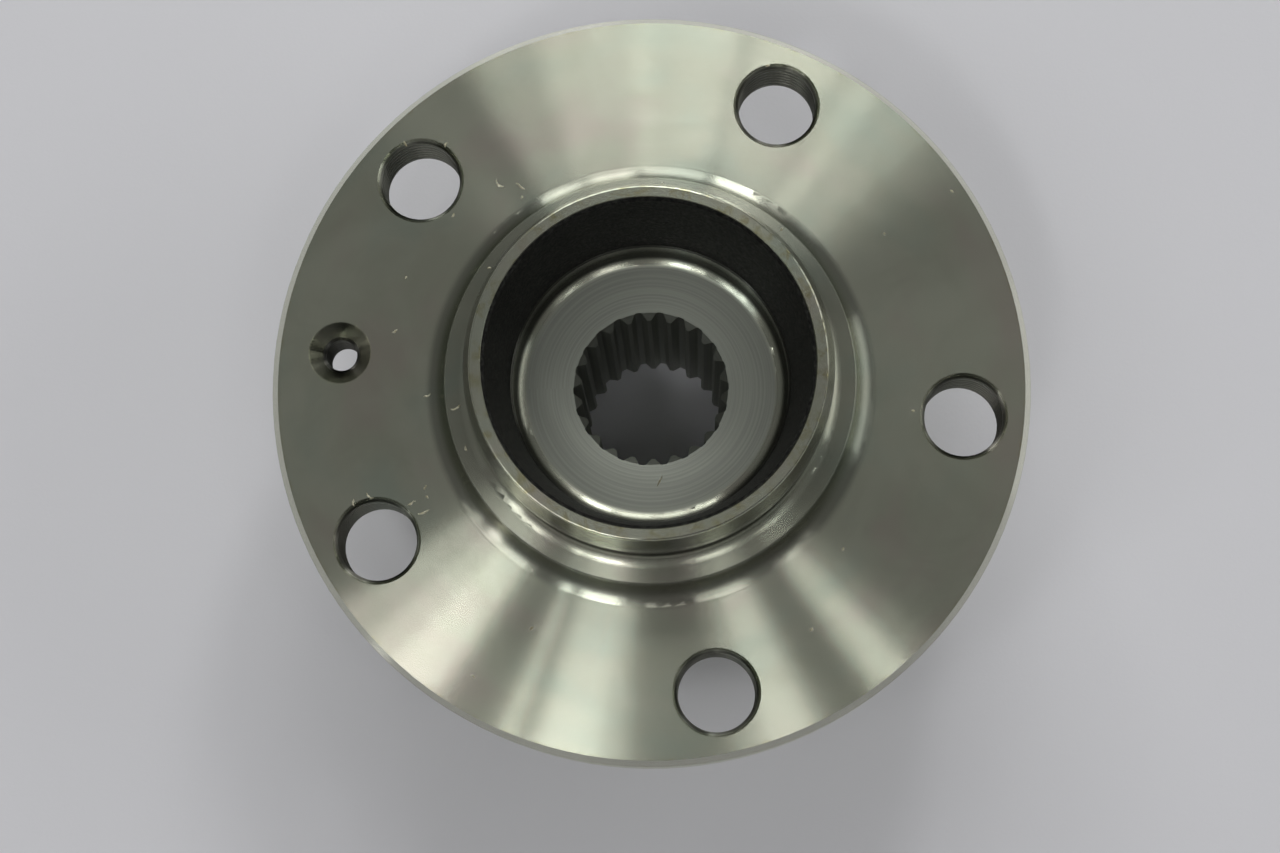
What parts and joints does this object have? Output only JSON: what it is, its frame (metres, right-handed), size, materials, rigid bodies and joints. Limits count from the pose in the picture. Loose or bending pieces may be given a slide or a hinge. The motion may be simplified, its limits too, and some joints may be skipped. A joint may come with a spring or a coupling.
{
  "type": "wheel hub bearing",
  "caption": "Splined wheel hub with a drilled wheel flange and hollow pilot nose, carried in a sealed double-row ball bearing.",
  "frame": {"origin": "centre of the bolt circle, on the flange's mounting face", "axes": "+Z along the spin axis, outboard towards the pilot nose; the wheel bolt holes' first one is 66 degrees from +X"},
  "size_m": [0.121, 0.121, 0.0727],
  "materials": {
    "turned_hub_steel": "lathe-turned bare steel, with a black forged recess in the nose",
    "bearing_ring_steel": "ground bearing steel",
    "polished_ball_steel": "polished bearing steel",
    "cage_polyamide": "moulded glass-filled polyamide",
    "seal_rubber": "moulded nitrile rubber",
    "pressed_seal_steel": "pressed sheet steel",
    "encoder_rubber": "magnetised rubber, moulded flat"
  },
  "bodies": {
    "knuckle_ring": {"bearing_outer_ring": "bearing_ring_steel", "outboard_seal_case": "pressed_seal_steel", "outboard_seal_lip": "seal_rubber", "inboard_seal_case": "pressed_seal_steel", "inboard_seal_lip": "seal_rubber"},
    "spinning_hub": {"wheel_hub": "turned_hub_steel", "outboard_inner_ring": "bearing_ring_steel", "inboard_inner_ring": "bearing_ring_steel", "outboard_slinger": "pressed_seal_steel", "inboard_slinger": "pressed_seal_steel", "inboard_encoder_ring": "encoder_rubber"},
    "outboard_cage": {"outboard_ball_cage": "cage_polyamide"},
    "inboard_cage": {"inboard_ball_cage": "cage_polyamide"},
    "outboard_ball_01": {"outboard_ball_01": "polished_ball_steel"},
    "outboard_ball_02": {"outboard_ball_02": "polished_ball_steel"},
    "outboard_ball_03": {"outboard_ball_03": "polished_ball_steel"},
    "outboard_ball_04": {"outboard_ball_04": "polished_ball_steel"},
    "outboard_ball_05": {"outboard_ball_05": "polished_ball_steel"},
    "outboard_ball_06": {"outboard_ball_06": "polished_ball_steel"},
    "outboard_ball_07": {"outboard_ball_07": "polished_ball_steel"},
    "outboard_ball_08": {"outboard_ball_08": "polished_ball_steel"},
    "outboard_ball_09": {"outboard_ball_09": "polished_ball_steel"},
    "outboard_ball_10": {"outboard_ball_10": "polished_ball_steel"},
    "outboard_ball_11": {"outboard_ball_11": "polished_ball_steel"},
    "outboard_ball_12": {"outboard_ball_12": "polished_ball_steel"},
    "outboard_ball_13": {"outboard_ball_13": "polished_ball_steel"},
    "outboard_ball_14": {"outboard_ball_14": "polished_ball_steel"},
    "inboard_ball_01": {"inboard_ball_01": "polished_ball_steel"},
    "inboard_ball_02": {"inboard_ball_02": "polished_ball_steel"},
    "inboard_ball_03": {"inboard_ball_03": "polished_ball_steel"},
    "inboard_ball_04": {"inboard_ball_04": "polished_ball_steel"},
    "inboard_ball_05": {"inboard_ball_05": "polished_ball_steel"},
    "inboard_ball_06": {"inboard_ball_06": "polished_ball_steel"},
    "inboard_ball_07": {"inboard_ball_07": "polished_ball_steel"},
    "inboard_ball_08": {"inboard_ball_08": "polished_ball_steel"},
    "inboard_ball_09": {"inboard_ball_09": "polished_ball_steel"},
    "inboard_ball_10": {"inboard_ball_10": "polished_ball_steel"},
    "inboard_ball_11": {"inboard_ball_11": "polished_ball_steel"},
    "inboard_ball_12": {"inboard_ball_12": "polished_ball_steel"},
    "inboard_ball_13": {"inboard_ball_13": "polished_ball_steel"},
    "inboard_ball_14": {"inboard_ball_14": "polished_ball_steel"}
  },
  "joints": [
    {"name": "hub_spin", "type": "hinge", "parent": "knuckle_ring", "child": "spinning_hub", "pos_m": [0, 0, -0.033], "axis": [0, 0, 1], "continuous": true},
    {"name": "outboard_cage_spin", "type": "hinge", "parent": "knuckle_ring", "child": "outboard_cage", "pos_m": [0, 0, -0.02651], "axis": [0, 0, 1], "continuous": true},
    {"name": "outboard_ball_01_roll", "type": "hinge", "parent": "outboard_cage", "child": "outboard_ball_01", "pos_m": [0.02775, 0, -0.02651], "axis": [0.6428, 0, 0.766], "continuous": true},
    {"name": "outboard_ball_02_roll", "type": "hinge", "parent": "outboard_cage", "child": "outboard_ball_02", "pos_m": [0.025, 0.01204, -0.02651], "axis": [0.5791, 0.2789, 0.766], "continuous": true},
    {"name": "outboard_ball_03_roll", "type": "hinge", "parent": "outboard_cage", "child": "outboard_ball_03", "pos_m": [0.0173, 0.0217, -0.02651], "axis": [0.4008, 0.5026, 0.766], "continuous": true},
    {"name": "outboard_ball_04_roll", "type": "hinge", "parent": "outboard_cage", "child": "outboard_ball_04", "pos_m": [0.00617, 0.02705, -0.02651], "axis": [0.143, 0.6267, 0.766], "continuous": true},
    {"name": "outboard_ball_05_roll", "type": "hinge", "parent": "outboard_cage", "child": "outboard_ball_05", "pos_m": [-0.00617, 0.02705, -0.02651], "axis": [-0.143, 0.6267, 0.766], "continuous": true},
    {"name": "outboard_ball_06_roll", "type": "hinge", "parent": "outboard_cage", "child": "outboard_ball_06", "pos_m": [-0.0173, 0.0217, -0.02651], "axis": [-0.4008, 0.5026, 0.766], "continuous": true},
    {"name": "outboard_ball_07_roll", "type": "hinge", "parent": "outboard_cage", "child": "outboard_ball_07", "pos_m": [-0.025, 0.01204, -0.02651], "axis": [-0.5791, 0.2789, 0.766], "continuous": true},
    {"name": "outboard_ball_08_roll", "type": "hinge", "parent": "outboard_cage", "child": "outboard_ball_08", "pos_m": [-0.02775, 0, -0.02651], "axis": [-0.6428, 0, 0.766], "continuous": true},
    {"name": "outboard_ball_09_roll", "type": "hinge", "parent": "outboard_cage", "child": "outboard_ball_09", "pos_m": [-0.025, -0.01204, -0.02651], "axis": [-0.5791, -0.2789, 0.766], "continuous": true},
    {"name": "outboard_ball_10_roll", "type": "hinge", "parent": "outboard_cage", "child": "outboard_ball_10", "pos_m": [-0.0173, -0.0217, -0.02651], "axis": [-0.4008, -0.5026, 0.766], "continuous": true},
    {"name": "outboard_ball_11_roll", "type": "hinge", "parent": "outboard_cage", "child": "outboard_ball_11", "pos_m": [-0.00617, -0.02705, -0.02651], "axis": [-0.143, -0.6267, 0.766], "continuous": true},
    {"name": "outboard_ball_12_roll", "type": "hinge", "parent": "outboard_cage", "child": "outboard_ball_12", "pos_m": [0.00617, -0.02705, -0.02651], "axis": [0.143, -0.6267, 0.766], "continuous": true},
    {"name": "outboard_ball_13_roll", "type": "hinge", "parent": "outboard_cage", "child": "outboard_ball_13", "pos_m": [0.0173, -0.0217, -0.02651], "axis": [0.4008, -0.5026, 0.766], "continuous": true},
    {"name": "outboard_ball_14_roll", "type": "hinge", "parent": "outboard_cage", "child": "outboard_ball_14", "pos_m": [0.025, -0.01204, -0.02651], "axis": [0.5791, -0.2789, 0.766], "continuous": true},
    {"name": "inboard_cage_spin", "type": "hinge", "parent": "knuckle_ring", "child": "inboard_cage", "pos_m": [0, 0, -0.03949], "axis": [0, 0, 1], "continuous": true},
    {"name": "inboard_ball_01_roll", "type": "hinge", "parent": "inboard_cage", "child": "inboard_ball_01", "pos_m": [0.02705, 0.00617, -0.03949], "axis": [-0.6267, -0.143, 0.766], "continuous": true},
    {"name": "inboard_ball_02_roll", "type": "hinge", "parent": "inboard_cage", "child": "inboard_ball_02", "pos_m": [0.0217, 0.0173, -0.03949], "axis": [-0.5026, -0.4008, 0.766], "continuous": true},
    {"name": "inboard_ball_03_roll", "type": "hinge", "parent": "inboard_cage", "child": "inboard_ball_03", "pos_m": [0.01204, 0.025, -0.03949], "axis": [-0.2789, -0.5791, 0.766], "continuous": true},
    {"name": "inboard_ball_04_roll", "type": "hinge", "parent": "inboard_cage", "child": "inboard_ball_04", "pos_m": [0, 0.02775, -0.03949], "axis": [0, -0.6428, 0.766], "continuous": true},
    {"name": "inboard_ball_05_roll", "type": "hinge", "parent": "inboard_cage", "child": "inboard_ball_05", "pos_m": [-0.01204, 0.025, -0.03949], "axis": [0.2789, -0.5791, 0.766], "continuous": true},
    {"name": "inboard_ball_06_roll", "type": "hinge", "parent": "inboard_cage", "child": "inboard_ball_06", "pos_m": [-0.0217, 0.0173, -0.03949], "axis": [0.5026, -0.4008, 0.766], "continuous": true},
    {"name": "inboard_ball_07_roll", "type": "hinge", "parent": "inboard_cage", "child": "inboard_ball_07", "pos_m": [-0.02705, 0.00617, -0.03949], "axis": [0.6267, -0.143, 0.766], "continuous": true},
    {"name": "inboard_ball_08_roll", "type": "hinge", "parent": "inboard_cage", "child": "inboard_ball_08", "pos_m": [-0.02705, -0.00617, -0.03949], "axis": [0.6267, 0.143, 0.766], "continuous": true},
    {"name": "inboard_ball_09_roll", "type": "hinge", "parent": "inboard_cage", "child": "inboard_ball_09", "pos_m": [-0.0217, -0.0173, -0.03949], "axis": [0.5026, 0.4008, 0.766], "continuous": true},
    {"name": "inboard_ball_10_roll", "type": "hinge", "parent": "inboard_cage", "child": "inboard_ball_10", "pos_m": [-0.01204, -0.025, -0.03949], "axis": [0.2789, 0.5791, 0.766], "continuous": true},
    {"name": "inboard_ball_11_roll", "type": "hinge", "parent": "inboard_cage", "child": "inboard_ball_11", "pos_m": [0, -0.02775, -0.03949], "axis": [0, 0.6428, 0.766], "continuous": true},
    {"name": "inboard_ball_12_roll", "type": "hinge", "parent": "inboard_cage", "child": "inboard_ball_12", "pos_m": [0.01204, -0.025, -0.03949], "axis": [-0.2789, 0.5791, 0.766], "continuous": true},
    {"name": "inboard_ball_13_roll", "type": "hinge", "parent": "inboard_cage", "child": "inboard_ball_13", "pos_m": [0.0217, -0.0173, -0.03949], "axis": [-0.5026, 0.4008, 0.766], "continuous": true},
    {"name": "inboard_ball_14_roll", "type": "hinge", "parent": "inboard_cage", "child": "inboard_ball_14", "pos_m": [0.02705, -0.00617, -0.03949], "axis": [-0.6267, 0.143, 0.766], "continuous": true}
  ],
  "couplings": [
    {"joint": "outboard_cage_spin", "follows": "hub_spin", "ratio": 0.42878},
    {"joint": "outboard_ball_01_roll", "follows": "hub_spin", "ratio": -2.6344},
    {"joint": "outboard_ball_02_roll", "follows": "hub_spin", "ratio": -2.6344},
    {"joint": "outboard_ball_03_roll", "follows": "hub_spin", "ratio": -2.6344},
    {"joint": "outboard_ball_04_roll", "follows": "hub_spin", "ratio": -2.6344},
    {"joint": "outboard_ball_05_roll", "follows": "hub_spin", "ratio": -2.6344},
    {"joint": "outboard_ball_06_roll", "follows": "hub_spin", "ratio": -2.6344},
    {"joint": "outboard_ball_07_roll", "follows": "hub_spin", "ratio": -2.6344},
    {"joint": "outboard_ball_08_roll", "follows": "hub_spin", "ratio": -2.6344},
    {"joint": "outboard_ball_09_roll", "follows": "hub_spin", "ratio": -2.6344},
    {"joint": "outboard_ball_10_roll", "follows": "hub_spin", "ratio": -2.6344},
    {"joint": "outboard_ball_11_roll", "follows": "hub_spin", "ratio": -2.6344},
    {"joint": "outboard_ball_12_roll", "follows": "hub_spin", "ratio": -2.6344},
    {"joint": "outboard_ball_13_roll", "follows": "hub_spin", "ratio": -2.6344},
    {"joint": "outboard_ball_14_roll", "follows": "hub_spin", "ratio": -2.6344},
    {"joint": "inboard_cage_spin", "follows": "hub_spin", "ratio": 0.42878},
    {"joint": "inboard_ball_01_roll", "follows": "hub_spin", "ratio": -2.6344},
    {"joint": "inboard_ball_02_roll", "follows": "hub_spin", "ratio": -2.6344},
    {"joint": "inboard_ball_03_roll", "follows": "hub_spin", "ratio": -2.6344},
    {"joint": "inboard_ball_04_roll", "follows": "hub_spin", "ratio": -2.6344},
    {"joint": "inboard_ball_05_roll", "follows": "hub_spin", "ratio": -2.6344},
    {"joint": "inboard_ball_06_roll", "follows": "hub_spin", "ratio": -2.6344},
    {"joint": "inboard_ball_07_roll", "follows": "hub_spin", "ratio": -2.6344},
    {"joint": "inboard_ball_08_roll", "follows": "hub_spin", "ratio": -2.6344},
    {"joint": "inboard_ball_09_roll", "follows": "hub_spin", "ratio": -2.6344},
    {"joint": "inboard_ball_10_roll", "follows": "hub_spin", "ratio": -2.6344},
    {"joint": "inboard_ball_11_roll", "follows": "hub_spin", "ratio": -2.6344},
    {"joint": "inboard_ball_12_roll", "follows": "hub_spin", "ratio": -2.6344},
    {"joint": "inboard_ball_13_roll", "follows": "hub_spin", "ratio": -2.6344},
    {"joint": "inboard_ball_14_roll", "follows": "hub_spin", "ratio": -2.6344}
  ]
}
